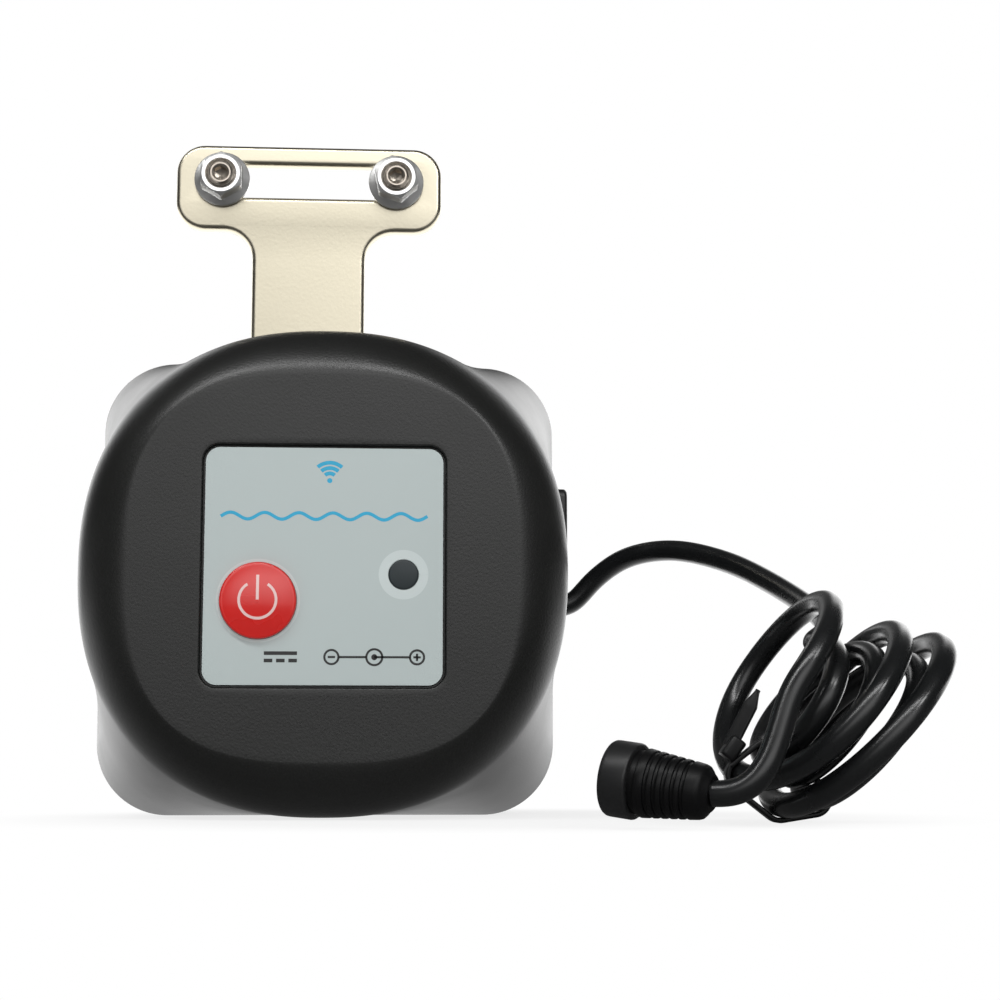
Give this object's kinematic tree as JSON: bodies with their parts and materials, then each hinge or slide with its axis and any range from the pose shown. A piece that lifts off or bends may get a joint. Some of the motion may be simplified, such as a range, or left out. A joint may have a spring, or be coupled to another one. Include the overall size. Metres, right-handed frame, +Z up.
{
  "type": "smart water valve controller",
  "caption": "Clamp-on motor unit that turns a valve handle: rounded black housing, red power button, slotted bracket with studs, drive fork behind, coiled lead with an inline socket.",
  "frame": {"origin": "on the floor, under the middle of the unit without its cord", "axes": "+X to the right of the label, +Y from the label to the valve behind, +Z up"},
  "size_m": [0.1352, 0.1487, 0.1326],
  "materials": {
    "shell": "fine moulded texture",
    "label": "printed satin film",
    "window": "smoked clear",
    "lamp": "diffused",
    "board": "solder mask",
    "module": "tinned",
    "switch": "moulded",
    "red_button": "polished",
    "tab": "satin",
    "steel": "machined",
    "zinc": "passivated zinc plate",
    "bright": "bright plated",
    "cap": "moulded",
    "brass": "turned",
    "gear": "moulded acetal",
    "rubber": "soft",
    "cord": "satin jacket",
    "tie": "moulded",
    "jack": "ribbed moulding",
    "collar": "turned"
  },
  "bodies": {
    "housing": {"front_shell": "shell", "rear_cover": "shell", "shell_gasket": "rubber", "cover_screws": "steel", "label_panel": "label", "led_window": "window", "led_lamp": "lamp", "circuit_board": "board", "wireless_module": "module", "tact_switch": "switch", "board_screws": "steel", "release_spring": "steel", "motor_can": "steel", "motor_end_cap": "cap", "gear_plate": "steel", "plate_screws": "steel", "gear_spindles": "steel", "shaft_bush": "brass", "shaft_seal": "rubber", "limit_switches": "switch", "mounting_bracket": "zinc", "bracket_screws": "steel", "cable_gland": "rubber", "cord_lead": "cord", "cord_coil": "cord", "cord_tail": "cord", "cable_tie": "tie", "jack_body": "jack", "jack_collar": "collar", "jack_contacts": "brass"},
    "button": {"power_button": "red_button"},
    "release": {"release_button": "tab"},
    "output": {"output_gear": "gear", "output_shaft": "steel", "limit_cam": "gear", "drive_arm": "zinc", "arm_screw": "steel", "fork_posts": "steel", "fork_sleeves": "rubber"},
    "second": {"second_gear": "gear"},
    "first": {"first_gear": "gear"},
    "rotor": {"motor_pinion": "brass"},
    "left_clamp": {"left_stud": "bright", "left_flange_nut": "bright", "left_back_nut": "bright"},
    "right_clamp": {"right_stud": "bright", "right_flange_nut": "bright", "right_back_nut": "bright"}
  },
  "joints": [
    {"name": "power_press", "type": "slide", "parent": "housing", "child": "button", "axis": [0, 1, 0], "range_m": [0, 0.0006], "stiffness_N_per_m": 3000},
    {"name": "release_press", "type": "slide", "parent": "housing", "child": "release", "axis": [-1, 0, 0], "range_m": [0, 0.001], "stiffness_N_per_m": 1500, "deforming": ["release_spring"]},
    {"name": "output_turn", "type": "hinge", "parent": "housing", "child": "output", "pos_m": [-0.0052, 0, 0.0415], "axis": [0, 1, 0], "range_deg": [0, 90]},
    {"name": "second_turn", "type": "hinge", "parent": "housing", "child": "second", "pos_m": [0.01645, 0, 0.054], "axis": [0, 1, 0], "range_deg": [-360, 0]},
    {"name": "first_turn", "type": "hinge", "parent": "housing", "child": "first", "pos_m": [0.01925, 0, 0.03814], "axis": [0, 1, 0], "range_deg": [0, 1296]},
    {"name": "motor_turn", "type": "hinge", "parent": "housing", "child": "rotor", "pos_m": [0.02525, 0, 0.02775], "axis": [0, 1, 0], "range_deg": [-3888, 0]},
    {"name": "left_stud_slide", "type": "slide", "parent": "housing", "child": "left_clamp", "axis": [1, 0, 0], "range_m": [0, 0.01]},
    {"name": "right_stud_slide", "type": "slide", "parent": "housing", "child": "right_clamp", "axis": [-1, 0, 0], "range_m": [0, 0.01]}
  ],
  "couplings": [
    {"joint": "second_turn", "follows": "output_turn", "ratio": -4},
    {"joint": "first_turn", "follows": "output_turn", "ratio": 14.4},
    {"joint": "motor_turn", "follows": "output_turn", "ratio": -43.2}
  ]
}
